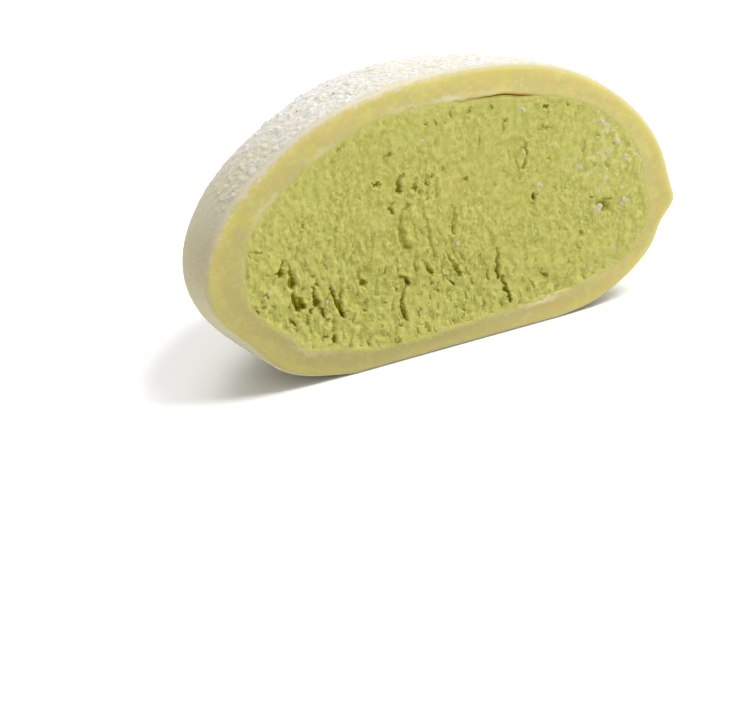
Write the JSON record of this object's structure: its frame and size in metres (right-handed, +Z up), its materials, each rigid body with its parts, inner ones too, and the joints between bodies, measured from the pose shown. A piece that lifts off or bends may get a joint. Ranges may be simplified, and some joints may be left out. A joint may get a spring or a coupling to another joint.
{
  "type": "halved filled mochi rice cake",
  "caption": "Half of a round mochi cut through the middle: soft dough skin round a crumbly green-tea filling, standing on its flat base.",
  "frame": {"origin": "middle of the bounding box at the height of the flat base", "axes": "+Z up; the cut face is vertical and looks along -Y; the dome bulges along +Y; +X is to the right as one faces the cut"},
  "size_m": [0.0502, 0.0248, 0.028],
  "materials": {
    "rice_dough": "soft satin dough, dusted with white rice starch outside",
    "green_tea_filling": "matte crumbly cut face"
  },
  "bodies": {
    "root": {"mochi_skin": "rice_dough", "matcha_filling": "green_tea_filling"}
  },
  "joints": []
}
